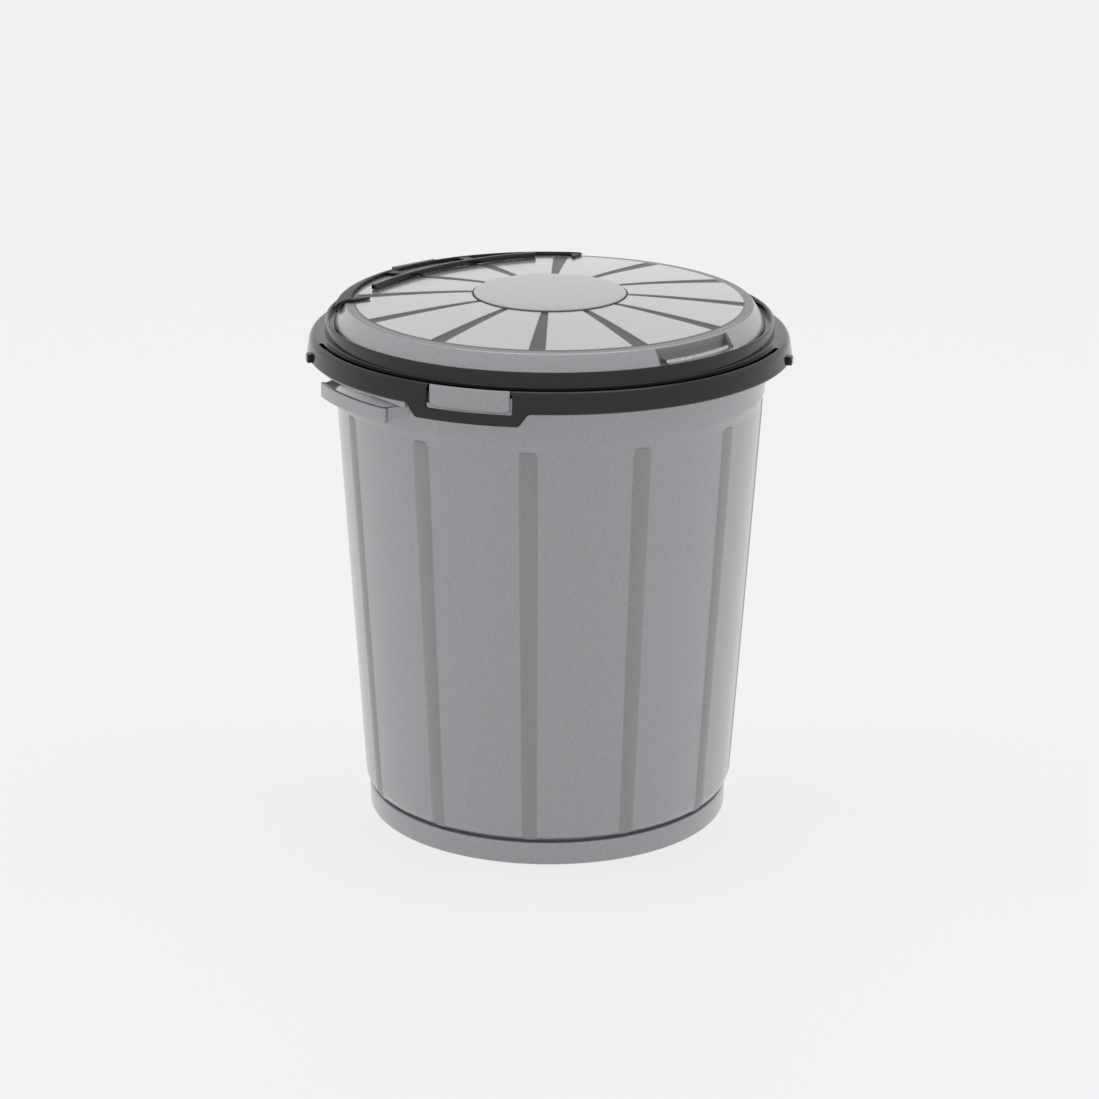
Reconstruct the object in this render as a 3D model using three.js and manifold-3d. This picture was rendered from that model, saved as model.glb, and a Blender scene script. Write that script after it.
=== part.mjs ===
// A round waste bin of about 50 litres: a tapered, ribbed body with moulded side
// grips, a clamping ring that snaps over its lip, and a domed lid hinged in the ring.
// Millimetres, +Z up, origin on the floor under the middle of the foot. An azimuth
// is in degrees: 0 faces the viewer (-Y) and grows towards +X.
import * as THREE from "three";
import { mergeVertices } from "three/addons/utils/BufferGeometryUtils.js";
import Module from "manifold-3d";

const wasm = await Module();
wasm.setup();

// Driving dimensions
const overallHeight = 515; // floor to the crown of the lid
const ringDiameter = 460; // widest circle, the lower edge of the ring
const footDiameter = 350; // the plinth on the floor
const wallThickness = 2.4; // the moulded body
const ringThickness = 2.7; // the ring's skirt
const lidThickness = 2.6;
const ribCount = 12; // ribs of the body, and spokes of the lid
const ribWidthTop = 17.8;
const ribWidthFoot = 13.8;
const ribHeight = 1.2;
const plinthHeight = 22.8;
const gripWidth = 96; // along the outside of a side grip's bar
const gripHeight = 13.5;
const hubDiameter = 150;

// Where things sit round the bin, in degrees
const ribPhase = -5.3;
const strapAzimuth = -19.2;
const catchAzimuth = strapAzimuth + 0.6; // middle of the ring's window
const gripAzimuth = -55.5;
const hingeAzimuth = -138;
const tabAzimuth = 42.8;
const lugAzimuth = 82;
const halfTurn = 180;

// Levels and radii that follow from the driving dimensions
const clearance = 0.3;
const ringRadius = ringDiameter / 2;
const footRadius = footDiameter / 2;
const skirtBottom = overallHeight - 58; // lower edge of the ring
const landTop = skirtBottom + 20.1; // flat shoulder of the ring
const seatTop = skirtBottom + 28.5; // ledge that carries the lid
const collarTop = skirtBottom + 34.3;
const lidRimTop = skirtBottom + 47;
const lipTop = skirtBottom + 13.8; // lip of the body, inside the ring
const lidRimRadius = ringRadius - 36.5;
const lidSkirtRadius = ringRadius - 26;
const collarRadius = ringRadius - 17.4;
const collarBore = ringRadius - 21;
const neckRadius = ringRadius - 22.3; // body wall inside the ring
const kneeRadius = footRadius + 4.2; // body wall where it rounds in to the plinth
const kneeHeight = plinthHeight + 16.2;
const waistRadius = ringRadius - 27.2; // top of the ribbed wall
const waistHeight = skirtBottom - 44;
const bandRadius = ringRadius - 24.4; // foot of the plain band under the ring
const bandFoot = skirtBottom - 32;
const hubRadius = hubDiameter / 2;
const pitch = 360 / ribCount;

const degree = Math.PI / 180;

// Helpers

function polar(radius, azimuth, z) {
  const angle = azimuth * degree;
  return new THREE.Vector3(radius * Math.sin(angle), -radius * Math.cos(angle), z);
}

// A closed three.js geometry as a solid that can be joined and cut.
function solid(geometry) {
  const bare = new THREE.BufferGeometry();
  bare.setAttribute("position", geometry.attributes.position);
  bare.setIndex(geometry.index);
  const merged = mergeVertices(bare, 1e-4);
  const corners = merged.index.array;
  const kept = [];
  for (let i = 0; i < corners.length; i += 3) {
    const [a, b, c] = corners.slice(i, i + 3);
    if (a !== b && b !== c && c !== a) kept.push(a, b, c);
  }
  return new wasm.Manifold(
    new wasm.Mesh({
      numProp: 3,
      vertProperties: merged.attributes.position.array,
      triVerts: Uint32Array.from(kept),
    }),
  );
}

function join(first, ...others) {
  return others.reduce((whole, piece) => whole.add(piece), first);
}

function cut(first, ...others) {
  return others.reduce((whole, piece) => whole.subtract(piece), first);
}

// The profile, a list of [radius, z], turned about the bin's axis.
function turned(profile, segments) {
  const points = profile.map(([r, z]) => new THREE.Vector2(r, z));
  return new THREE.LatheGeometry(points, segments).rotateX(Math.PI / 2);
}

// A turned solid with equally spaced ribs on its skin. A row of the profile is
// [radius, z, half width, step of the rib along the radius, and along z].
function turnedWithRibs(rows, fillers) {
  const edgeWidth = 1.1; // plan width of a rib's flank
  const columnsPerPitch = 4 + fillers;
  const geometry = turned(rows, columnsPerPitch * ribCount);
  const position = geometry.attributes.position;
  for (let i = 0; i < position.count; i++) {
    const [r, z, halfWidth, stepR, stepZ] = rows[i % rows.length];
    const column = Math.floor(i / rows.length);
    const place = column % columnsPerPitch;
    const faceEdge = halfWidth / Math.max(r, 1) / degree;
    const outerEdge = (halfWidth + edgeWidth) / Math.max(r, 1) / degree;
    const free = (pitch - 2 * outerEdge) / (fillers + 1);
    const offsets = [-outerEdge, -faceEdge, faceEdge, outerEdge];
    const offset = place < 4 ? offsets[place] : outerEdge + (place - 3) * free;
    const onFace = place === 1 || place === 2;
    const azimuth = ribPhase + Math.floor(column / columnsPerPitch) * pitch + offset;
    const at = polar(r + (onFace ? stepR : 0), azimuth, z + (onFace ? stepZ : 0));
    position.setXYZ(i, at.x, at.y, at.z);
  }
  return solid(geometry);
}

// The profile swept from one azimuth to another; bend may move a point of it, and
// turn it further round.
function sector(profile, from, to, bend = (r, z) => [r, z], step = 5) {
  const span = to - from;
  const shape = new THREE.Shape(profile.map(([r, z]) => new THREE.Vector2(r, z)));
  const geometry = new THREE.ExtrudeGeometry(shape, {
    depth: span,
    steps: Math.ceil(span / step),
    bevelEnabled: false,
  });
  const position = geometry.attributes.position;
  for (let i = 0; i < position.count; i++) {
    const azimuth = to - position.getZ(i);
    const [r, z, turn = 0] = bend(position.getX(i), position.getY(i), azimuth);
    const at = polar(r, azimuth + turn, z);
    position.setXYZ(i, at.x, at.y, at.z);
  }
  return solid(geometry);
}

// A point list for an arc in the profile plane, angles in degrees.
function arc(centreR, centreZ, radiusR, radiusZ, from, to, count) {
  return Array.from({ length: count + 1 }, (_, i) => {
    const angle = (from + ((to - from) * i) / count) * degree;
    return [centreR + radiusR * Math.cos(angle), centreZ + radiusZ * Math.sin(angle)];
  });
}

// Turns a geometry drawn with +Y towards the hinge into the bin's own frame.
function atHinge(geometry) {
  return geometry.rotateZ((hingeAzimuth + halfTurn) * degree);
}

function hingeBlock(width, fromRadius, toRadius, fromZ, toZ, across = 0) {
  const block = new THREE.BoxGeometry(width, toRadius - fromRadius, toZ - fromZ);
  block.translate(across, (fromRadius + toRadius) / 2, (fromZ + toZ) / 2);
  return solid(atHinge(block));
}

function mesh(name, shape, look) {
  const { vertProperties, triVerts } = shape.getMesh();
  const geometry = new THREE.BufferGeometry();
  geometry.setAttribute("position", new THREE.BufferAttribute(vertProperties, 3));
  geometry.setIndex(new THREE.BufferAttribute(triVerts, 1));
  geometry.computeVertexNormals();
  const result = new THREE.Mesh(geometry, look);
  result.name = name;
  return result;
}

// Looks

const silverPlastic = new THREE.MeshStandardMaterial({
  color: 0xb4b5b8,
  roughness: 0.42,
  metalness: 0.35,
});
const paleSilverPlastic = new THREE.MeshStandardMaterial({
  color: 0xd2d4d7,
  roughness: 0.36,
  metalness: 0.3,
});
const blackPlastic = new THREE.MeshStandardMaterial({
  color: 0x141416,
  roughness: 0.28,
  metalness: 0,
});
const steel = new THREE.MeshStandardMaterial({
  color: 0x9a9c9f,
  roughness: 0.3,
  metalness: 1,
});

// Body: plinth, ribbed wall, plain band, rolled lip, catch blocks and side grips

function wallRadius(z) {
  const { mapLinear } = THREE.MathUtils;
  if (z < waistHeight) return mapLinear(z, kneeHeight, waistHeight, kneeRadius, waistRadius);
  return mapLinear(z, bandFoot, skirtBottom + 4, bandRadius, neckRadius);
}

function bodyShell() {
  const row = (r, z, step = 0, narrow = 1) => {
    const width = THREE.MathUtils.mapLinear(z, kneeHeight, waistHeight, ribWidthFoot, ribWidthTop);
    return [r, z, (width / 2) * narrow, step, 0];
  };
  const ledge = footRadius - 6.5; // the wall meets the plinth here
  const knee = (inset, angles) =>
    angles.map((angle) => {
      const r = ledge - inset + (kneeRadius - ledge) * Math.cos(angle * degree);
      const z = kneeHeight - (kneeHeight - plinthHeight - 0.7) * Math.sin(angle * degree);
      return row(r, z, ribHeight * Math.cos(angle * degree) ** 2);
    });
  const ribbedWall = (inset) => [
    row(wallRadius(waistHeight - 5) - inset, waistHeight - 5, ribHeight),
    row(waistRadius + 0.1 - inset, waistHeight + 1, ribHeight - 0.1, 0.8),
    row(waistRadius + 0.6 - inset, waistHeight + 3.5, 0, 0.65),
    row(bandRadius - inset, bandFoot),
  ];
  const floorTop = 9;
  const floorBottom = 6;
  const plinthInner = footRadius - 6.2;
  return turnedWithRibs(
    [
      row(0, floorBottom),
      row(plinthInner - 1.5, floorBottom),
      row(plinthInner, floorBottom - 1.5),
      row(plinthInner + 0.4, 0),
      row(footRadius - 1.6, 0),
      row(footRadius, 1.6),
      row(footRadius + 0.4, plinthHeight - 1.4),
      row(footRadius - 0.9, plinthHeight),
      row(ledge, plinthHeight),
      ...knee(0, [75, 50, 25, 0]),
      ...ribbedWall(0),
      row(wallRadius(skirtBottom + 9), skirtBottom + 9),
      row(ringRadius - 8.2, skirtBottom + 9.6),
      row(ringRadius - 6.3, skirtBottom + 2),
      row(ringRadius - 3.9, skirtBottom + 2),
      row(ringRadius - 6, lipTop - 1.2),
      row(ringRadius - 7.4, lipTop),
      row(neckRadius - 1, lipTop),
      row(neckRadius - wallThickness + 0.4, lipTop - 1.4),
      ...ribbedWall(wallThickness).reverse(),
      ...knee(wallThickness, [0, 45]),
      row(ledge - wallThickness - 3, plinthHeight - 4),
      row(ledge - 8, floorTop),
      row(0, floorTop),
    ],
    2,
  );
}

// The catch that the ring's strap holds, filling the window in the ring.
function catchBlock(azimuth) {
  const halfSpan = 9.7;
  const face = ringRadius - 3.2;
  const inner = ringRadius - 5.1;
  const profile = [
    [ringRadius - 9, skirtBottom - 0.8],
    [face, skirtBottom - 0.8],
    [face, landTop - 1.4],
    [face - 0.8, landTop],
    [inner, landTop],
    [inner, skirtBottom + 13.2],
    [ringRadius - 9, skirtBottom + 13.2],
  ];
  return sector(profile, azimuth - halfSpan, azimuth + halfSpan);
}

// A curved bar on two splayed webs, open above and below for the fingers, and a brow
// of the lip over it.
function sideGrip(azimuth) {
  const barRadius = ringRadius - 1.2;
  const barThickness = 3;
  const halfSpan = gripWidth / 2 / barRadius / degree;
  const top = skirtBottom - 10.6;
  const bottom = top - gripHeight;
  const bar = sector(
    [
      [barRadius - barThickness, bottom],
      [barRadius, bottom],
      [barRadius, top - 1],
      [barRadius - 1, top],
      [barRadius - barThickness, top],
    ],
    azimuth - halfSpan,
    azimuth + halfSpan,
  );
  const webSpan = 0.8;
  const webRoot = wallRadius(top) - wallThickness / 2;
  const splay = 6; // degrees from the bar to the wall
  const webProfile = [
    [webRoot, bottom + 7],
    [barRadius - 1, bottom],
    [barRadius - 1, top],
    [webRoot, top],
  ];
  const web = (side) => {
    const middle = azimuth + side * (halfSpan - webSpan / 2);
    const bend = (r, z) => [r, z, (side * splay * (barRadius - r)) / (barRadius - webRoot)];
    return sector(webProfile, middle - webSpan / 2, middle + webSpan / 2, bend);
  };
  const brow = sector(
    [
      [ringRadius - 7, skirtBottom - 5.4],
      [ringRadius - 3.8, skirtBottom - 5.4],
      [ringRadius - 4.4, skirtBottom + 3],
      [ringRadius - 7, skirtBottom + 3],
    ],
    azimuth - halfSpan,
    azimuth + halfSpan + 8,
  );
  return join(bar, web(-1), web(1), brow);
}

const opposite = [0, halfTurn];
const body = join(
  bodyShell(),
  ...opposite.map((turn) => catchBlock(catchAzimuth + turn)),
  ...opposite.map((turn) => sideGrip(gripAzimuth + turn)),
);

// Hinge line, shared by the ring, the lid and the bracket

const hingeRadius = ringRadius - 24; // distance of the pin from the bin's axis
const hingeZ = skirtBottom + 35;
const pinRadius = 2.4;
const pinHole = pinRadius + clearance;
const pinLength = 72;
const barrelRadius = 4.8;
const eyeRadius = 5;
const barrelLength = 52.8;
const lugThickness = 6;
const lugMiddle = barrelLength / 2 + 0.6 + lugThickness / 2;
const coverHalfSpan = 51; // degrees of the cover each side of the hinge

function hingeCylinder(radius, length, across = 0) {
  const cylinder = new THREE.CylinderGeometry(radius, radius, length, 24);
  cylinder.rotateZ(Math.PI / 2).translate(across, hingeRadius, hingeZ);
  return solid(atHinge(cylinder));
}

// Ring: skirt, shoulder with its groove, collar, seat of the lid and inner funnel

function ringShell() {
  const shoulder = ringRadius - 3.1;
  const funnel = ringRadius - 44;
  const profile = [
    [ringRadius, skirtBottom],
    [ringRadius - 2.7, landTop - 3.2],
    ...arc(shoulder - 1.6, landTop - 2, 2, 2, 20, 90, 2),
    [ringRadius - 15.6, landTop],
    [collarRadius, collarTop - 1.6],
    ...arc(collarRadius - 1.5, collarTop - 1.4, 1.4, 1.4, 0, 180, 4).slice(1),
    [collarBore, seatTop],
    [funnel + 1, seatTop],
    [funnel, seatTop - 1],
    [funnel, skirtBottom + 3],
    [funnel + ringThickness, skirtBottom + 3],
    [funnel + ringThickness, seatTop - 3],
    [ringRadius - 23.8, seatTop - 3],
    [ringRadius - 23.8, landTop - 4.4],
    [ringRadius - 5.4, landTop - 4.4],
    [ringRadius - ringThickness, skirtBottom],
    [ringRadius, skirtBottom],
  ];
  return solid(turned(profile, 72));
}

function shoulderGroove() {
  const profile = [
    [ringRadius - 10.4, landTop - 3],
    [ringRadius - 6.2, landTop - 3],
    [ringRadius - 6.2, landTop + 3],
    [ringRadius - 10.4, landTop + 3],
  ];
  return sector(profile, -74, 72);
}

const strapDrop = 11.5;

function catchWindow(azimuth) {
  const profile = [
    [ringRadius - 5.7, skirtBottom - 1.5],
    [ringRadius + 6, skirtBottom - 1.5],
    [ringRadius + 6, landTop + 3],
    [ringRadius - 5.7, landTop + 3],
  ];
  return sector(profile, azimuth - 10.3, azimuth + 10.3);
}

// The band under a window, dropped below the skirt with sloping ends.
function strap(azimuth) {
  const halfSpan = 15;
  const slope = 3;
  const innerRadius = ringRadius - 2.3;
  const profile = [
    [innerRadius, skirtBottom - strapDrop],
    [ringRadius + 0.5, skirtBottom - strapDrop],
    [ringRadius - 0.1, skirtBottom + 1],
    [innerRadius, skirtBottom + 1],
  ];
  const bend = (r, z, at) => {
    if (z > skirtBottom) return [r, z];
    const fromEnd = (halfSpan - Math.abs(at - azimuth)) / slope;
    const drop = THREE.MathUtils.smoothstep(fromEnd, 0, 1);
    return [r, skirtBottom + 0.4 - (strapDrop + 0.4) * drop];
  };
  return sector(profile, azimuth - halfSpan, azimuth + halfSpan, bend, 1);
}

function skirtLug(azimuth) {
  const profile = [
    [ringRadius - 2, skirtBottom + 0.4],
    [ringRadius + 2, skirtBottom + 0.4],
    [ringRadius + 1.8, skirtBottom + 7],
    [ringRadius - 2, skirtBottom + 8.5],
  ];
  return sector(profile, azimuth - 1, azimuth + 1);
}

function hingeLug(side) {
  const across = side * lugMiddle;
  const foot = hingeBlock(lugThickness, hingeRadius - 6, hingeRadius + 5, seatTop - 1, hingeZ, across);
  const eye = hingeCylinder(eyeRadius, lugThickness, across);
  return foot.add(eye);
}

const sides = [-1, 1];
const barrelGap = hingeBlock(
  barrelLength + 1.2,
  hingeRadius - 3,
  hingeRadius + 10,
  seatTop + 0.6,
  collarTop + 5,
);
const ring = cut(
  join(
    cut(ringShell(), shoulderGroove(), barrelGap),
    ...opposite.map((turn) => strap(strapAzimuth + turn)),
    ...sides.map((side) => skirtLug(lugAzimuth * side)),
    ...sides.map(hingeLug),
  ),
  ...opposite.map((turn) => catchWindow(catchAzimuth + turn)),
  hingeCylinder(pinHole, pinLength + 4),
);

// Lid: dome with raised panels between spokes, hub disc, rim band and flared skirt

const panelInner = hubRadius + 2.6;
const panelOuter = lidRimRadius - 9.3;
const panelRise = 0.9;

// Height of the dome's raised panels above the rim.
function domeRise(radius) {
  const t = THREE.MathUtils.clamp((radius - panelInner) / (panelOuter - panelInner), 0, 1);
  return 0.7 + 7.3 * (1 - t ** 1.35);
}

const crown = overallHeight;
const panelStops = [0, 0.25, 0.5, 0.72, 0.88, 1];
const panelRadii = panelStops.map((t) => panelInner + t * (panelOuter - panelInner));

function spokeHalfWidth(radius) {
  const t = (radius - panelInner) / (panelOuter - panelInner);
  return 3.1 + 4.1 * THREE.MathUtils.clamp(t, 0, 1);
}

function lidShell() {
  const row = (r, z, step = 0) => [r, z, Math.min(spokeHalfWidth(r), r / 8), 0, step];
  const skirtEnd = seatTop + clearance + 0.2;
  const under = lidRimTop - lidThickness;
  return turnedWithRibs(
    [
      row(lidSkirtRadius, skirtEnd),
      row(lidRimRadius + 0.4, lidRimTop - 1.4),
      row(lidRimRadius - 0.7, lidRimTop),
      row(panelOuter + 0.6, lidRimTop + 0.1),
      ...[...panelRadii].reverse().map((r) => row(r, lidRimTop + domeRise(r), -panelRise)),
      row(hubRadius + 2, crown - 4.1),
      row(hubRadius + 0.5, crown - 4),
      row(hubRadius, crown - 2.6),
      row(hubRadius - 3, crown - 1.6),
      row(hubRadius * 0.55, crown - 0.5),
      row(0, crown),
      row(0, crown - lidThickness - 0.6),
      row(hubRadius, crown - 3.6 - lidThickness),
      row(panelRadii[2], lidRimTop + domeRise(panelRadii[2]) - panelRise - lidThickness),
      row(panelOuter, under - 0.3),
      row(lidRimRadius - 2.4, under - 0.4),
      row(lidSkirtRadius - 3, skirtEnd),
      row(lidSkirtRadius, skirtEnd),
    ],
    2,
  );
}

// A shelf to lift the lid by, at the foot of a recess pressed into the skirt.
const tabHalfSpan = 13.6;
const tabFrom = tabAzimuth - tabHalfSpan;
const tabTo = tabAzimuth + tabHalfSpan;
const recessWall = lidRimRadius - 0.6;
const shelfTop = lidRimTop - 12;

function tabClearing() {
  const profile = [
    [recessWall - 4, seatTop - 1],
    [lidSkirtRadius + 6, seatTop - 1],
    [lidSkirtRadius + 6, lidRimTop - 1.7],
    [recessWall - 4, lidRimTop - 1.7],
  ];
  return sector(profile, tabFrom, tabTo);
}

function tabShelf() {
  const wallAndFloor = [
    [recessWall - 2.6, shelfTop - 3],
    [recessWall + 5, shelfTop - 5.4],
    [lidSkirtRadius + 0.8, shelfTop - 5.4],
    [lidSkirtRadius + 0.8, shelfTop - 3.6],
    [recessWall, shelfTop - 3],
    [recessWall, lidRimTop - 1.2],
    [recessWall - 2.6, lidRimTop - 1.2],
  ];
  const step = [
    [recessWall - 1, shelfTop - 4],
    [recessWall + 5, shelfTop - 5.4],
    [lidSkirtRadius + 3.2, shelfTop - 5.4],
    [lidSkirtRadius + 3.2, shelfTop - 2.6],
    [recessWall + 6.5, shelfTop - 2.2],
    [recessWall + 6, shelfTop],
    [recessWall - 1, shelfTop],
  ];
  return sector(wallAndFloor, tabFrom, tabTo).add(sector(step, tabFrom + 2.6, tabTo + 1.4));
}

function tabCheek(azimuth) {
  const profile = [
    [recessWall - 2.4, shelfTop - 4.5],
    [lidSkirtRadius - 1.5, seatTop + 1],
    [lidSkirtRadius - 0.6, seatTop + 1.1],
    [lidRimRadius - 0.3, lidRimTop - 0.9],
    [recessWall - 2.4, lidRimTop - 0.9],
  ];
  return sector(profile, azimuth - 0.5, azimuth + 0.5);
}

const lidHingeNotch = hingeBlock(
  2 * lugMiddle + lugThickness + 6,
  hingeRadius - 9,
  hingeRadius + 9,
  seatTop - 2,
  lidRimTop - 6.5,
);
const lid = cut(
  join(cut(lidShell(), tabClearing()), tabShelf(), tabCheek(tabFrom), tabCheek(tabTo)),
  lidHingeNotch,
);

// Hinge cover: a frame on the back of the lid, with two webs between its curved band
// and a bowed rail, and the barrel that turns on the pin

const coverThickness = 2.2;
const railHeight = 4.8;
const coverOuter = ringRadius - 27;
const coverInner = ringRadius - 40;
const railDistance = ringRadius - 76; // inner face of the rail from the bin's axis
const railBow = 350;
const railHalfLength = 103;
const coverSeat = lidRimTop + clearance + 0.1; // underside of the band over the rim

// A skin of the given thickness that lies on the dome and on past its rim.
function domeSkin(thickness) {
  const top = [0.5, ...panelStops].map((t, i) => {
    const r = i === 0 ? hubRadius + 1 : panelRadii[i - 1];
    return [r, lidRimTop + domeRise(r) + clearance];
  });
  const lower = [...top, [panelOuter + 3, coverSeat], [coverOuter + 9, coverSeat]];
  const upper = lower.map(([r, z]) => [r, z + thickness]).reverse();
  return solid(turned([...lower, ...upper, lower[0]], 72));
}

function upright(shape) {
  const height = 60;
  const extruded = new THREE.ExtrudeGeometry(shape, {
    depth: height,
    bevelEnabled: false,
    curveSegments: 24,
  });
  return solid(atHinge(extruded.translate(0, 0, lidRimTop - height / 2)));
}

function railPlan() {
  const width = 3;
  const halfAngle = Math.asin(railHalfLength / railBow);
  const centre = railDistance - railBow;
  const plan = new THREE.Shape();
  const middle = Math.PI / 2;
  plan.absarc(0, centre, railBow + width, middle - halfAngle, middle + halfAngle, false);
  plan.absarc(0, centre, railBow, middle + halfAngle, middle - halfAngle, true);
  return upright(plan);
}

function coverBand() {
  const low = lidRimTop - 20;
  const high = lidRimTop + 20;
  const profile = (from, to) => [
    [from, low],
    [to, low],
    [to, high],
    [from, high],
  ];
  const band = sector(
    profile(coverInner, coverOuter),
    hingeAzimuth - coverHalfSpan,
    hingeAzimuth + coverHalfSpan,
  );
  const webs = sides.map((side) => {
    const middle = hingeAzimuth + 14.4 * side;
    return sector(profile(railDistance + 2, coverInner + 1), middle - 1.7, middle + 1.7);
  });
  const ends = sides.map((side) => {
    const middle = hingeAzimuth + (coverHalfSpan - 1.2) * side;
    const taper = (r, z, at) => [r, z, ((middle - at) * (coverInner - r)) / 26];
    return sector(profile(coverInner - 18, coverInner + 1), middle - 1.2, middle + 1.2, taper);
  });
  return join(band, ...webs, ...ends);
}

function coverApron() {
  const top = coverSeat + coverThickness / 2;
  const bottom = lidRimTop - 9.5;
  const profile = [
    [coverOuter - 2.6, bottom],
    [coverOuter, bottom],
    [coverOuter, top],
    [coverOuter - 2.6, top],
  ];
  return sector(profile, hingeAzimuth - coverHalfSpan, hingeAzimuth + coverHalfSpan);
}

const barrelArm = hingeBlock(
  barrelLength,
  hingeRadius - 7,
  hingeRadius - 2.6,
  hingeZ - 3,
  lidRimTop + 1.6,
);
const cover = cut(
  join(
    coverBand().intersect(domeSkin(coverThickness)),
    railPlan().intersect(domeSkin(railHeight)),
    coverApron(),
    barrelArm,
    hingeCylinder(barrelRadius, barrelLength),
  ),
  hingeCylinder(pinHole, pinLength),
);

const group = new THREE.Group();
group.add(
  mesh("bin_body", body, silverPlastic),
  mesh("rim_ring", ring, blackPlastic),
  mesh("lid", lid, paleSilverPlastic),
  mesh("hinge_cover", cover, blackPlastic),
  mesh("hinge_pin", hingeCylinder(pinRadius, pinLength), steel),
);

export default group;
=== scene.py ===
from math import atan2, cos, degrees, hypot, pi, radians, sin

import bmesh
import bpy
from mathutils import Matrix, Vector


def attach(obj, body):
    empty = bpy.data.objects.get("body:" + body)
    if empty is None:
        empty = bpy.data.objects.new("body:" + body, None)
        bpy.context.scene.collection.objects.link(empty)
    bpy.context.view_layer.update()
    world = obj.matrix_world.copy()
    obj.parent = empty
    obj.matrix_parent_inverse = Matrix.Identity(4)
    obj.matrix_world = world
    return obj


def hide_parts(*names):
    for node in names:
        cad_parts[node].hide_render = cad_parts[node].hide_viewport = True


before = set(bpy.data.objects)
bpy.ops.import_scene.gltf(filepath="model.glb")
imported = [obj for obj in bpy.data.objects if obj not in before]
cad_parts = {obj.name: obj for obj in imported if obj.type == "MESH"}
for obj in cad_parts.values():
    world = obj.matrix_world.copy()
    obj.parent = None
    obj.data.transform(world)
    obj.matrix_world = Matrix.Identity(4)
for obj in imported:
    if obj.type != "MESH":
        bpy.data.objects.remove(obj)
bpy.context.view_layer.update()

# Camera. A long lens about three metres away and a little above the bin, level but
# for a third of a degree. Its place and lens come from the circles of the bin.

camera_data = bpy.data.cameras.new("portrait")
camera_data.sensor_width = 36
camera_data.lens = 109.77
camera = bpy.data.objects.new("portrait", camera_data)
camera.location = (0.00094, -3.088, 1.274)
camera.rotation_mode = "ZYX"
camera.rotation_euler = (radians(90 - 18.24), 0, radians(0.31))
bpy.context.collection.objects.link(camera)
bpy.context.scene.camera = camera
bpy.context.scene.view_settings.view_transform = "Standard"


class Wire:
    """A socket of a node tree. Sums on wires add Math nodes; node() adds any other."""

    def __init__(self, tree, socket=None):
        self.tree = tree
        self.socket = socket

    def node(self, kind, inputs=None, out=0, stops=(), **settings):
        made = self.tree.nodes.new("ShaderNode" + kind)
        for name, value in settings.items():
            setattr(made, name, value)
        for i, (place, grey) in enumerate(stops):
            ramp = made.color_ramp.elements
            stop = ramp[i] if i < 2 else ramp.new(place)
            stop.position, stop.color = place, (grey, grey, grey, 1)
        for name, value in (inputs or {}).items():
            if isinstance(value, Wire):
                self.tree.links.new(value.socket, made.inputs[name])
            else:
                made.inputs[name].default_value = value
        return Wire(self.tree, made.outputs[out] if made.outputs else None)

    def sum(self, operation, *terms, clamp=False):
        return self.node("Math", dict(enumerate(terms)), operation=operation, use_clamp=clamp)

    def __add__(self, other):
        return self.sum("ADD", self, other)

    def __sub__(self, other):
        return self.sum("SUBTRACT", self, other)

    def __rsub__(self, other):
        return self.sum("SUBTRACT", other, self)

    def __mul__(self, other):
        return self.sum("MULTIPLY", self, other)

    __radd__ = __add__
    __rmul__ = __mul__

    def ramp(self, low, high):
        """0 below low, 1 above high, and smooth between."""
        places = {"Value": self, "From Min": low, "From Max": high}
        return self.node("MapRange", places, interpolation_type="SMOOTHSTEP")


def node_tree(owner):
    owner.use_nodes = True
    owner.node_tree.nodes.clear()
    return Wire(owner.node_tree)


# Studio. A pale seamless floor under an even sky, which camera, gloss and glass all see
# alike. Diffuse light comes from boxes at both sides and a bright wall behind, and from
# a soft box overhead.


def turned(x, y):
    """How far a direction is turned from the front, either way, in radians."""
    heading = x.sum("ARCTAN2", x, 0 - y)
    return heading.sum("ABSOLUTE", heading - radians(0.5))


def split(vector):
    """The three parts of a vector."""
    parts = vector.node("SeparateXYZ", {0: vector}).socket.node
    return [Wire(vector.tree, socket) for socket in parts.outputs]


def seen_by(shade, *kinds):
    """1 for these kinds of ray and 0 for others."""
    rays = [shade.node("LightPath", out=f"Is {kind} Ray") for kind in kinds]
    return sum(rays[1:], rays[0])


pale_to = ("Camera", "Glossy", "Transmission")
world = bpy.data.worlds.new("room")
bpy.context.scene.world = world
room = node_tree(world)
across, ahead, up = split(room.node("TexCoord", out="Generated"))
heading = turned(across, ahead)
past_sides = heading.ramp(radians(128), radians(146))
boxes = heading.ramp(radians(25), radians(75)) * (1 - 0.8 * past_sides)
behind = heading.ramp(radians(140), radians(158))
wall_light = behind * up.ramp(0.04, 0.18) * (1 - up.ramp(0.7, 0.9))
lit = 0.02 + 0.88 * boxes * (1 - 0.7 * up.ramp(0.7, 0.95)) + wall_light
shown = room.node(
    "Mix", {"Factor": seen_by(room, *pale_to), "A": lit, "B": 0.9}, data_type="FLOAT"
)
sky = room.node("Background", {"Color": (0.985, 0.99, 1, 1), "Strength": shown})
room.node("OutputWorld", {"Surface": sky})

bpy.ops.object.select_all(action="DESELECT")
bpy.ops.mesh.primitive_plane_add(size=40)
floor = bpy.context.object
floor.name = "floor"
paper = bpy.data.materials.new("seamless_paper")
paper.cycles.emission_sampling = "NONE"
shade = node_tree(paper)
white = shade.node(
    "BsdfPrincipled",
    {
        "Base Color": (0.25, 0.25, 0.25, 1),
        "Roughness": 0.9,
        "Specular IOR Level": 0.0,
        "Emission Color": (0.985, 0.985, 1, 1),
        "Emission Strength": 0.18 + 0.58 * seen_by(shade, *pale_to),
    },
)
shade.node("OutputMaterial", {"Surface": white})
floor.data.materials.append(paper)

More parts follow.
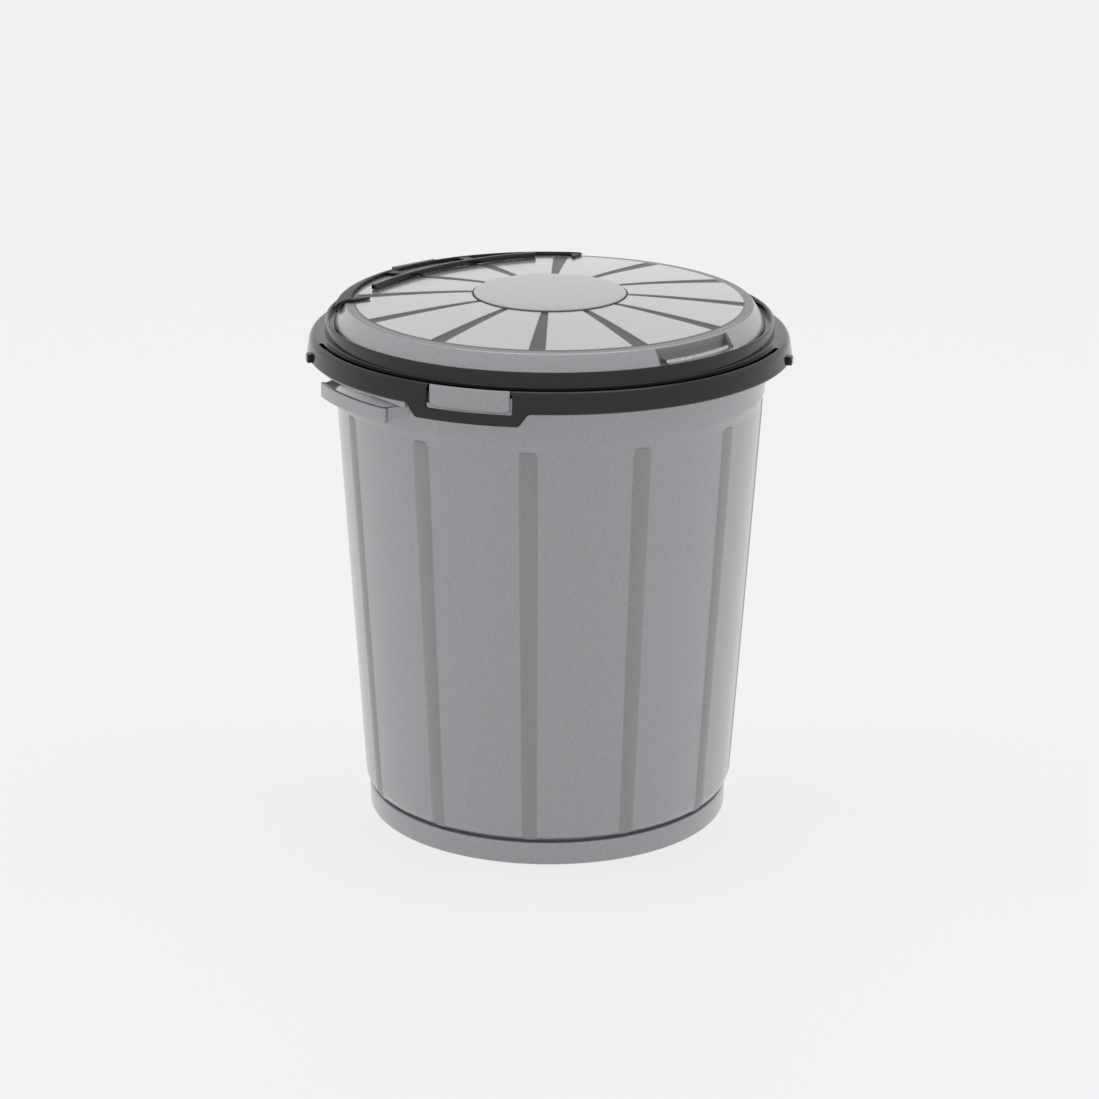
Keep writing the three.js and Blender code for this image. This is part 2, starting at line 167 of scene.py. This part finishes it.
bpy.ops.object.light_add(type="AREA", location=(0, 0, 2.6))
soft_box = bpy.context.object.data
soft_box.shape = "RECTANGLE"
soft_box.size, soft_box.size_y = 2.4, 1.0
soft_box.energy = 8

# Bin body. One moulding in silver-pigmented plastic: a low plinth, a round knee, a
# tapered wall with twelve flat ribs, a plain band above it and a lip rolled outwards.
# The mould was polished, but its ribs were left with a grain.


def silver(name, colour, roughness, metal, coat):
    """Plastic with metal flakes in it: a fine speckle and a faint moulded grain."""
    made = bpy.data.materials.new(name)
    shade = node_tree(made)
    at = shade.node("TexCoord", out="Object")
    flakes = shade.node("TexVoronoi", {"Vector": at, "Scale": 1100.0}, out="Color")
    flakes = shade.node("SeparateColor", {0: flakes})
    cloud = shade.node("TexNoise", {"Vector": at, "Scale": 380.0, "Detail": 2.0})
    grain = shade.node("TexNoise", {"Vector": at, "Scale": 900.0, "Detail": 3.0})
    tone = 0.9 + 0.1 * flakes + 0.24 * (cloud - 0.5)
    plastic = shade.node(
        "BsdfPrincipled",
        {
            "Base Color": shade.node("VectorMath", {0: colour, "Scale": tone}, operation="SCALE"),
            "Metallic": metal,
            "Roughness": roughness + 0.08 * (cloud - 0.5),
            "Coat Weight": coat,
            "Coat Roughness": 0.1,
            "Normal": shade.node("Bump", {"Strength": 0.12, "Distance": 0.0002, "Height": grain}),
        },
    )
    shade.node("OutputMaterial", {"Surface": plastic})
    return made


silver_body = silver("silver_body", (0.50, 0.505, 0.52), 0.3, 0.45, 0.5)
silver_grain = silver("silver_grain", (0.44, 0.445, 0.455), 0.45, 0.4, 0.1)

rib_phase = -5.3  # degrees; azimuth 0 faces the viewer and grows to the right
rib_pitch = 30
rib_height = 1.2  # sizes of the pieces are in millimetres


def around(radius, azimuth, z):
    """A point given by its distance from the bin's axis, its azimuth and its height."""
    angle = radians(azimuth)
    return Vector((radius * sin(angle), -radius * cos(angle), z)) * 0.001


def polar(point):
    """Radius, azimuth and height of a point."""
    return hypot(point.x, point.y) * 1000, degrees(atan2(point.x, -point.y)), point.z * 1000


def drawn(name, points):
    """A circle with a vertex for each point, moved onto them, in edit mode."""
    bpy.ops.object.select_all(action="DESELECT")
    bpy.ops.mesh.primitive_circle_add(vertices=len(points), fill_type="NGON")
    piece = bpy.context.object
    piece.name = name
    for vertex, point in zip(piece.data.vertices, points):
        vertex.co = point
    bpy.ops.object.mode_set(mode="EDIT")
    bpy.ops.mesh.select_mode(type="FACE")
    bpy.ops.mesh.select_all(action="SELECT")
    return piece


def closed():
    """Ends edit mode with doubles merged and faces outwards."""
    bpy.ops.mesh.select_all(action="SELECT")
    bpy.ops.mesh.remove_doubles(threshold=2e-6)
    bpy.ops.mesh.delete_loose()
    bpy.ops.mesh.select_all(action="SELECT")
    bpy.ops.mesh.normals_make_consistent(inside=False)
    bpy.ops.object.mode_set(mode="OBJECT")


def spun(name, profile, columns, start=0, end=360):
    """A profile of (radius, height) spun about the bin's axis between two azimuths."""
    piece = drawn(name, [around(radius, start, z) for radius, z in profile])
    whole = end - start == 360
    if whole:
        bpy.ops.mesh.delete(type="ONLY_FACE")
        bpy.ops.mesh.select_mode(type="EDGE")
        bpy.ops.mesh.select_all(action="SELECT")
    bpy.ops.mesh.spin(
        steps=columns,
        angle=radians(start - end),  # a positive angle turns the other way
        center=(0, 0, 0),
        axis=(0, 0, 1),
        use_auto_merge=whole,
    )
    closed()
    return piece


def plate(name, outline, low, high):
    """An outline of (radius, azimuth) extruded from one height to another."""
    piece = drawn(name, [around(radius, azimuth, low) for radius, azimuth in outline])
    bpy.ops.mesh.extrude_region_move(
        TRANSFORM_OT_translate={"value": (0, 0, (high - low) * 0.001)}
    )
    closed()
    return piece


def pick(piece, test, kind="faces"):
    """Selects the faces or edges whose middle passes a test on radius, azimuth, height."""
    bpy.ops.mesh.select_mode(type={"faces": "FACE", "edges": "EDGE"}[kind])
    bpy.ops.mesh.select_all(action="DESELECT")
    for item in getattr(bmesh.from_edit_mesh(piece.data), kind):
        corners = [vertex.co for vertex in item.verts]
        if test(*polar(sum(corners, Vector()) / len(corners))):
            item.select_set(True)
    bmesh.update_edit_mesh(piece.data)


def apply(piece, kind, **settings):
    """Adds a modifier with its settings and applies it."""
    bpy.ops.object.select_all(action="DESELECT")
    piece.select_set(True)
    bpy.context.view_layer.objects.active = piece
    modifier = piece.modifiers.new(kind.lower(), kind)
    for setting, value in settings.items():
        setattr(modifier, setting, value)
    bpy.ops.object.modifier_apply(modifier=modifier.name)


def fuse(piece, operation, *others):
    """Joins others to the piece or cuts them out of it."""
    for other in others:
        apply(piece, "BOOLEAN", operation=operation, object=other, solver="EXACT")
        bpy.data.objects.remove(other)
    return piece


def round_edges(piece, width, segments=3, angle=35):
    apply(
        piece,
        "BEVEL",
        width=width * 0.001,
        segments=segments,
        limit_method="ANGLE",
        angle_limit=radians(angle),
        use_clamp_overlap=True,
    )
    bpy.ops.object.shade_smooth()
    apply(piece, "WEIGHTED_NORMAL", keep_sharp=True, weight=80)
    return piece


def fit(piece, body, slot, *materials):
    """Gives the piece its materials and its body; the slot is not used."""
    if not piece.data.materials:
        for material in materials:
            piece.data.materials.append(material)
    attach(piece, body)


def from_rib(azimuth):
    """Degrees from the middle of the nearest rib."""
    return (azimuth - rib_phase + rib_pitch / 2) % rib_pitch - rib_pitch / 2


def wall(z, inward=0):
    """The wall's skin: it widens to a waist at 413, and again in a cove below the band."""
    t = max(0, min(1, (z - 413) / 12))
    low = 179.2 + 23.6 * (z - 39) / 374
    high = 205.6 + 2.1 * (z - 425) / 36
    return low + (high - low) * t * t * (3 - 2 * t) - inward, z


def knee(inward):
    return [
        (168.5 - inward + 10.7 * cos(radians(a)), 39 - 15.6 * sin(radians(a)))
        for a in (88, 72, 56, 40, 24, 10)
    ]


ribbed = (39, 60, 110, 180, 250, 320, 380, 398, 406, 411, 413.5, 415.5)
cove = (417, 419, 421, 423, 425, 428, 445)
shell = spun(
    "bin_shell",
    [
        (0, 6), (120, 6), (167.3, 6), (168.8, 4.5), (169.2, 0.5), (169.8, 0),
        (173.4, 0), (174.5, 0.6), (175, 1.8), (175.2, 10), (175.4, 20.6), (175.1, 22.2),
        (174, 22.8), (171, 22.8), (168.7, 22.9),
        *knee(0),
        *[wall(z) for z in (*ribbed, *cove, 464, 466)],
        (209.2, 466.6), (221, 466.6), (222.2, 466.2),
        (223.7, 459.4), (224.1, 459), (225.6, 459), (226.1, 459.5), (224.2, 469),
        (223.6, 470.2), (222.4, 470.8), (207.4, 470.8), (206.2, 470.4), (205.4, 469),
        *[wall(z, 2.4) for z in (460, 425, 419, 413, 380, 320, 250, 180, 110, 60, 39)],
        *knee(2.4)[::-1],
        (163, 19), (161, 12), (159.5, 9.4), (156, 9), (120, 9), (0, 9),
    ],
    120,
    rib_phase,
    rib_phase + 360,
)
bpy.ops.object.mode_set(mode="EDIT")
pick(
    shell,
    lambda r, a, z: abs(from_rib(a)) < 2.9 and 24.5 < z < 415.5
    and r > wall(max(z, 39))[0] - (2 if z > 39 else 12),
)
for material in (silver_body, silver_grain):
    shell.data.materials.append(material)
shell.active_material_index = 1
bpy.ops.mesh.inset(thickness=0.0007)
bpy.ops.object.material_slot_assign()
for thickness, height in ((2.5, 0.48 * rib_height), (1.2, 0.2)):
    bpy.ops.mesh.inset(thickness=thickness * 0.001)
    scale = 1 + height / 196
    bpy.ops.transform.resize(value=(scale, scale, 1), center_override=(0, 0, 0))
bpy.ops.object.mode_set(mode="OBJECT")
for vertex in shell.data.vertices:
    radius, azimuth, z = polar(vertex.co)
    offset = from_rib(azimuth)
    if abs(offset) < 3.2 and 24 < z < 416 and radius > wall(max(z, 39))[0] - 12:
        narrow = 0.853 + 0.087 * (z - 39) / 374
        narrow *= 1 - 0.3 * max(0, (z - 407.5) / 8) ** 2
        crowned = 0.45 if abs(offset) < 0.3 and 40 < z < 410 else 0
        vertex.co = around(radius + crowned, azimuth - offset * (1 - narrow), z)
apply(shell, "SUBSURF", levels=1, render_levels=1)
bpy.ops.object.shade_smooth()
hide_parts("bin_body")
fit(shell, "body", "silver_body")

# Catches. Two blocks of the same silver moulding fill the windows of the ring; its
# straps hook under them.

catch_azimuth = -18.6
for side, turn in (("front", 0), ("rear", 180)):
    middle = catch_azimuth + turn
    catch = spun(
        f"catch_{side}",
        [
            (220, 456.2), (226.8, 456.2), (226.8, 474.6), (226.3, 476.2), (225.7, 476.9),
            (224.9, 477), (224.9, 470.6), (220, 470.6),
        ],
        12,
        middle - 9.7,
        middle + 9.7,
    )
    for vertex in catch.data.vertices:  # its lower corners are rounded off
        radius, azimuth, z = polar(vertex.co)
        offset = (azimuth - middle + 180) % 360 - 180
        if z < 457 and abs(offset) > 8:
            rise = 2.6 if abs(offset) > 9 else 0.6
            vertex.co = around(radius, azimuth, z + rise)
    round_edges(catch, 0.6, angle=50)
    fit(catch, "body", "silver_body", silver_body)

# Side grips. A bar on two webs under the lip, moulded with the wall and open above
# and below for the fingers, and a brow of the lip above it.

grip_azimuth = -55.5
for side, turn in (("left", 0), ("right", 180)):
    middle = grip_azimuth + turn
    outer = [(228.8, a) for a in range(-12, 15)]
    outer = [(200, -18.7), (223.4, -12.6), (224.6, -13), (228, -12.9), (228.6, -12.6), *outer]
    outer += [(228.6, 14.7), (228, 15), (224.6, 15.1), (223.4, 14.6), (200, 18.7)]
    inner = [(200, 18), (222.6, 14), (224.8, 13.4), *[(224.8, a) for a in range(13, -12, -1)]]
    inner += [(224.8, -11.6), (222.6, -12), (200, -18)]
    outline = [(r, middle + a) for r, a in outer + inner]
    grip = plate(f"grip_{side}", outline, 432.9, 446.4)
    for vertex in grip.data.vertices:
        radius, azimuth, z = polar(vertex.co)
        if radius < 220 and z < 440:  # the webs' lower edges rise to the wall
            vertex.co.z += 0.007
    round_edges(grip, 0.5)
    fit(grip, "body", "silver_body", silver_body)
    brow = spun(
        f"brow_{side}",
        [(218, 454), (225.6, 454), (226.3, 454.6), (225.9, 460), (218, 460)],
        33,
        middle - 12,
        middle + 20.5,
    )
    for vertex in brow.data.vertices:
        radius, azimuth, z = polar(vertex.co)
        past = (azimuth - middle + 180) % 360 - 180 - 12
        if z < 455:  # it deepens towards its front end
            vertex.co.z -= 0.0034 * max(0, min(1, past / 7)) ** 1.5
    round_edges(brow, 0.6)
    fit(brow, "body", "silver_body", silver_body)

# Ring. One black moulding snapped over the lip: a sloping skirt, a grooved shoulder,
# an upright collar, the seat of the lid and a funnel that holds the liner.


def black_plastic(name, colour, roughness, blotchy, speckled, relief):
    """Black plastic whose gloss varies in soft blotches and in a fine moulded grain."""
    made = bpy.data.materials.new(name)
    shade = node_tree(made)
    at = shade.node("TexCoord", out="Object")
    cloud = shade.node("TexNoise", {"Vector": at, "Scale": 45.0, "Detail": 3.0})
    grain = shade.node("TexNoise", {"Vector": at, "Scale": 1300.0, "Detail": 2.0})
    tone = 0.7 + 0.6 * cloud
    plastic = shade.node(
        "BsdfPrincipled",
        {
            "Base Color": shade.node("VectorMath", {0: colour, "Scale": tone}, operation="SCALE"),
            "Roughness": roughness + blotchy * cloud + speckled * grain,
            "Normal": shade.node("Bump", {"Strength": relief, "Distance": 0.0001, "Height": grain}),
        },
    )
    shade.node("OutputMaterial", {"Surface": plastic})
    return made


black = black_plastic("black_trim", (0.002, 0.002, 0.0022), 0.1, 0.06, 0.04, 0.08)

ring = spun(
    "ring",
    [
        (227.4, 457.2), (227.9, 456.8), (228.7, 456.9), (229.5, 457.5), (230, 458.5),
        (229.9, 459.6), (228.1, 470.6), (227.7, 472.4), (227, 474), (226.1, 475.4),
        (224.9, 476.5), (223.4, 477.1), (219, 477.1),
        (214.9, 477.1), (213.7, 477.5), (213.1, 478.5), (212.7, 488.6), (212.3, 490.4),
        (211.4, 491.2), (210.4, 491.2), (209.5, 490.6), (209.1, 489.4), (209, 486.4),
        (208.4, 485.6), (207.4, 485.5), (188, 485.5), (186.6, 485), (186, 483.8),
        (186, 461), (186.6, 460), (188, 460), (188.7, 461), (188.7, 481.6),
        (189.6, 482.5), (206.2, 482.5), (206.2, 472.7), (224.3, 472.7), (224.9, 472),
    ],
    180,
)
slit_end = [(2.1 * sin(radians(a)), 0.54 * cos(radians(a))) for a in range(-60, 61, 30)]
slit = [(223.8, a) for a in range(-74, 73, 2)]
slit += [(221.7 + r, 72 + d) for r, d in slit_end[::-1]]
slit += [(219.6, a) for a in range(72, -75, -2)]
slit += [(221.7 + r, -74 - d) for r, d in slit_end]
groove = plate("groove", slit, 473.9, 480)
fuse(ring, "DIFFERENCE", groove)
strap_azimuth = -19.2
for turn in (0, 180):
    middle = strap_azimuth + turn
    strap = spun(
        "strap",
        [(227.6, 445.5), (230.4, 445.5), (229.9, 458), (227.4, 458)],
        60,
        middle - 15,
        middle + 15,
    )
    for vertex in strap.data.vertices:
        radius, azimuth, z = polar(vertex.co)
        if z < 450:
            t = (15 - abs((azimuth - middle + 180) % 360 - 180)) / 3
            t = max(0, min(1, t))
            vertex.co.z = (457.4 - 11.9 * t * t * (3 - 2 * t)) * 0.001
    fuse(ring, "UNION", strap)
for turn in (0, 180):
    middle = catch_azimuth + turn
    window = spun(
        "window",
        [(224.3, 455.5), (236, 455.5), (236, 480), (224.3, 480)],
        20,
        middle - 10.3,
        middle + 10.3,
    )
    bpy.ops.object.mode_set(mode="EDIT")
    pick(
        window,
        lambda r, a, z: z < 456 and 225 < r < 235
        and abs(abs((a - middle + 180) % 360 - 180) - 10.3) < 0.1,
        "edges",
    )
    bpy.ops.mesh.bevel(offset=0.0025, segments=4)
    bpy.ops.object.mode_set(mode="OBJECT")
    fuse(ring, "DIFFERENCE", window)
round_edges(ring, 0.45, 2, 40)
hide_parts("rim_ring")
fit(ring, "ring", "black_trim", black)

# The ring's small parts: a lug on the skirt at each side, where it is pulled off, and
# two eyes at the back that hold the hinge pin.

hinge_azimuth = -138
for side, azimuth in (("left", -77), ("right", 77)):
    lug = spun(
        f"skirt_lug_{side}",
        [(227, 457.2), (233, 457.2), (233.7, 458), (233.6, 464), (232.4, 465.6), (226, 466.2)],
        4,
        azimuth - 1.1,
        azimuth + 1.1,
    )
    round_edges(lug, 0.4, 2)
    fit(lug, "ring", "black_trim", black)


def at_hinge(across, outwards, z):
    """A point near the hinge: along the pin, away from the bin's axis, and up."""
    angle = radians(hinge_azimuth)
    out = Vector((sin(angle), -cos(angle), 0))
    along = Vector((-cos(angle), -sin(angle), 0))
    return (out * outwards + along * across + Vector((0, 0, z))) * 0.001


def knuckle(name, across, radius, length):
    """A round boss with softened ends on the line of the hinge pin."""
    bpy.ops.object.select_all(action="DESELECT")
    bpy.ops.mesh.primitive_cylinder_add(
        vertices=40,
        radius=radius * 0.001,
        depth=length * 0.001,
        location=at_hinge(across, 206, 492),
        rotation=(0, pi / 2, radians(hinge_azimuth + 180)),
    )
    piece = bpy.context.object
    piece.name = name
    bpy.ops.object.transform_apply(location=True, rotation=True, scale=True)
    return piece


def hinge_block(name, across, width, near, far, low, high):
    corners = [(-1, near), (1, near), (1, far), (-1, far)]
    piece = drawn(name, [at_hinge(across + side * width / 2, out, low) for side, out in corners])
    bpy.ops.mesh.extrude_region_move(
        TRANSFORM_OT_translate={"value": (0, 0, (high - low) * 0.001)}
    )
    closed()
    return piece


for side, across in (("left", -30), ("right", 30)):
    eye = fuse(
        hinge_block(f"hinge_eye_{side}", across, 6, 200, 211, 484.5, 492),
        "UNION",
        knuckle("boss", across, 5, 6),
    )
    fuse(eye, "DIFFERENCE", knuckle("bore", across, 2.7, 10))
    round_edges(eye, 0.5, 2)
    fit(eye, "ring", "black_trim", black)

# Lid. One moulding in the lighter silver: a shallow dome with a smooth hub disc and
# twelve raised panels, and between them spokes and a rim band left matt by the grain
# of the mould, above a flared skirt.

silver_lid = silver("silver_lid", (0.57, 0.58, 0.595), 0.26, 0.75, 0.8)
silver_hub = silver("silver_hub", (0.46, 0.465, 0.48), 0.26, 0.75, 0.6)
matt_silver = silver("matt_silver", (0.34, 0.345, 0.35), 0.55, 0.7, 0.1)
# Painted shade: the spokes' silver is a darker copy of the matt silver, for the dim light they
# catch between the raised panels.
spoke_painted_shade = silver("spoke_painted_shade", (0.125, 0.125, 0.13), 0.5, 0.7, 0.1)
lid_turn = 1.8  # degrees that its spokes stand on from the ribs


def dome(radius):
    """Height of the raised panels."""
    t = max(0, min(1, (radius - 73.4) / 110.8))
    return 504.7 + 7.3 * (1 - t**1.35)


def spoke_half(radius):
    """Half of the angle between two panels, at their feet."""
    return degrees((2.8 + 4.4 * (radius - 73.4) / 110.8) / radius)


spokes = [
    (radius, dome(radius) - 0.9)
    for radius in (184.2, 179, 172, 162, 151, 140, 128, 116, 104, 94, 86, 79, 73.4)
]
lid = spun(
    "lid_shell",
    [
        (201.4, 486.2), (202.6, 485.9), (203.8, 486), (204.4, 486.6), (204.1, 487.6),
        (195, 501.2), (194, 502.8), (193, 503.7), (191.8, 504), (190, 504.05), (186, 504),
        *spokes,
        (73, 510.9), (72.6, 511), (72.4, 511.4), (72.2, 512.8), (71.8, 513.4),
        (71, 513.6), (69, 513.75), (56, 514.3), (36, 514.75), (15, 514.96), (0, 515),
        (0, 511.8), (40, 511.2), (72, 509.4), (80, 508),
        *[(radius, z - 2.4) for radius, z in spokes[9:1:-2]],
        (184, 500.7), (190.4, 500.7), (191.8, 499.6),
    ],
    240,
    rib_phase + lid_turn,
    rib_phase + lid_turn + 360,
)
for vertex in lid.data.vertices:
    radius, azimuth, z = polar(vertex.co)
    offset = from_rib(azimuth - lid_turn)
    if 73.2 < radius < 185 and abs(offset) < 3.1 and z > dome(radius) - 1.6:
        vertex.co = around(radius, azimuth + offset * (spoke_half(radius) / 3 - 1), z)
bpy.ops.object.mode_set(mode="EDIT")
pick(
    lid,
    lambda r, a, z: 73.6 < r < 184 and z > dome(r) - 1.6
    and abs(from_rib(a - lid_turn)) > spoke_half(r),
)
for thickness, rise in ((0.12, 0), (0.4, 0.9), (0.15, 0)):
    bpy.ops.mesh.inset(thickness=thickness * 0.001)
    bpy.ops.transform.translate(value=(0, 0, rise * 0.001))
for material in (matt_silver, silver_lid, silver_body, silver_hub, spoke_painted_shade):
    lid.data.materials.append(material)
lid.active_material_index = 1
bpy.ops.object.material_slot_assign()
for index, test in (
    (2, lambda r, a, z: r > 193.2),
    (3, lambda r, a, z: r < 72.2 and z > 513),
    (4, lambda r, a, z: 72.2 < r < 184 and z > dome(r) - 3
        and (r < 73.6 or abs(from_rib(a - lid_turn)) < spoke_half(r))),
):
    pick(lid, test)
    lid.active_material_index = index
    bpy.ops.object.material_slot_assign()
bpy.ops.object.mode_set(mode="OBJECT")

# Lift shelf. A recess pressed into the lid's skirt at the front right, with a stepped
# shelf at its foot for the fingers.

recess = spun(
    "recess", [(188.9, 484), (212, 484), (212, 502.3), (188.9, 502.3)], 28, 29.2, 56.4
)
notch = hinge_block("notch", 0, 72, 197, 215, 483.5, 497.5)
fuse(lid, "DIFFERENCE", recess, notch)
round_edges(lid, 0.15, 2, 38)
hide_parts("lid")
fit(lid, "lid", "silver_lid")
back_wall = spun(
    "recess_back",
    [
        (190.3, 489), (197.9, 486.6), (204.6, 486.6), (204.6, 488.2), (193, 488.6),
        (193, 502.8), (190.3, 502.8),
    ],
    28,
    29.2,
    56.4,
)
round_edges(back_wall, 0.3, 2)
fit(back_wall, "lid", "silver_lid", matt_silver)
shelf = spun(
    "lift_shelf",
    [
        (192, 487.4), (197.9, 486.4), (206.4, 486.4), (207.2, 487), (207.2, 488.8),
        (206.6, 489.4), (199.9, 489.8), (199.2, 490.4), (198.9, 491.6), (198.2, 492), (192, 492),
    ],
    26,
    32,
    57.6,
)
round_edges(shelf, 0.3)
fit(shelf, "lid", "silver_lid", silver_lid)
for side, azimuth in (("left", 29.2), ("right", 56.4)):
    cheek = spun(
        f"recess_cheek_{side}",
        [(190.5, 487.5), (202.5, 486.5), (203.4, 486.6), (193.2, 502.8), (190.5, 502.8)],
        2,
        azimuth - 0.5,
        azimuth + 0.5,
    )
    round_edges(cheek, 0.3, 2)
    fit(cheek, "lid", "silver_lid", matt_silver)

# Hinge cover. A black frame snapped on the back left of the lid: a curved band with an
# apron, a bowed rail, two webs between them, and the barrel that turns on the pin.

matt_black = black_plastic("matt_black", (0.006, 0.006, 0.0063), 0.42, 0.1, 0.0, 0.25)
cover_half = 51
band = spun(
    "cover_band",
    [
        (188, 504.3), (187.5, 504.6), (187.6, 507.2), (188.1, 507.8), (189, 507.9),
        (196, 505.6), (200.6, 503.2), (202.2, 501.8), (203, 500), (203, 498.6),
        (203, 494.8), (202.7, 494.5), (200.7, 494.5), (200.4, 494.8), (200.4, 500.5),
        (196, 502.2), (193, 504.3),
    ],
    102,
    hinge_azimuth - cover_half,
    hinge_azimuth + cover_half,
)
round_edges(band, 0.3, 2, 50)
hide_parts("hinge_cover")
fit(band, "lid", "black_trim", matt_black)


def on_dome(piece, lift, height, middle):
    """Settles a plate on the lid: its underside lift above the panels."""
    for vertex in piece.data.vertices:
        radius, azimuth, z = polar(vertex.co)
        ground = dome(radius) + lift
        vertex.co.z = (ground + (height if z > middle else 0)) * 0.001


bow_radius = 350
rail_distance = 150.5
rail_width = 5
outer, inner = [], []
for step in range(-28, 29):
    turn = step / 28 * 0.2988
    for side, radius in ((outer, bow_radius + rail_width), (inner, bow_radius)):
        across = radius * sin(turn)
        out = rail_distance - bow_radius + radius * cos(turn)
        side.append((hypot(across, out), hinge_azimuth + degrees(atan2(across, out))))
rail = plate("cover_rail", outer + inner[::-1], 500, 520)
on_dome(rail, 0.3, 5.4, 510)
round_edges(rail, 1.5, 4)
fit(rail, "lid", "black_trim", black)
for side, turn in (("left", 14.4), ("right", -14.4)):
    azimuth = hinge_azimuth + turn
    edge = [(radius, 1.7) for radius in (156, 162, 171, 180, 191)]
    outline = [(r, azimuth + a) for r, a in edge] + [(r, azimuth - a) for r, a in edge[::-1]]
    web = plate(f"cover_web_{side}", outline, 500, 520)
    on_dome(web, 0.3, 2.2, 510)
    round_edges(web, 0.5, 2)
    fit(web, "lid", "black_trim", matt_black)
for side, turn in (("left", cover_half - 1.2), ("right", 1.2 - cover_half)):
    azimuth = hinge_azimuth + turn
    edge = [(radius, 0.2 + (radius - 170) / 13) for radius in (170, 177, 184, 191)]
    outline = [(r, azimuth + a) for r, a in edge] + [(r, azimuth - a) for r, a in edge[::-1]]
    wedge = plate(f"cover_wedge_{side}", outline, 500, 520)
    on_dome(wedge, 0.3, 2.2, 510)
    round_edges(wedge, 0.3, 2)
    fit(wedge, "lid", "black_trim", matt_black)
barrel = fuse(
    hinge_block("hinge_barrel", 0, 52.8, 199, 203.4, 489, 504.6),
    "UNION",
    knuckle("tube", 0, 4.8, 52.8),
)
fuse(barrel, "DIFFERENCE", knuckle("bore", 0, 2.7, 60))
round_edges(barrel, 0.5, 2)
fit(barrel, "lid", "black_trim", black)

# Hinge pin. Plain drawn steel wire.

pin_steel = bpy.data.materials.new("pin_steel")
shade = node_tree(pin_steel)
at = shade.node("TexCoord", out="Object")
drawn_out = shade.node(
    "Mapping",
    {
        "Vector": at,
        "Rotation": (0, 0, radians(-(hinge_azimuth + 180))),
        "Scale": (30.0, 2500.0, 2500.0),
    },
)
lines = shade.node("TexNoise", {"Vector": drawn_out, "Scale": 1.0, "Detail": 3.0})
metal = shade.node(
    "BsdfPrincipled",
    {
        "Base Color": shade.node(
            "VectorMath", {0: (0.5, 0.505, 0.51), "Scale": 0.8 + 0.4 * lines}, operation="SCALE"
        ),
        "Metallic": 1.0,
        "Roughness": 0.22 + 0.16 * lines,
        "Normal": shade.node("Bump", {"Strength": 0.1, "Distance": 0.00005, "Height": lines}),
    },
)
shade.node("OutputMaterial", {"Surface": metal})
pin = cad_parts["hinge_pin"]
pin.data.materials.clear()
pin.data.materials.append(pin_steel)
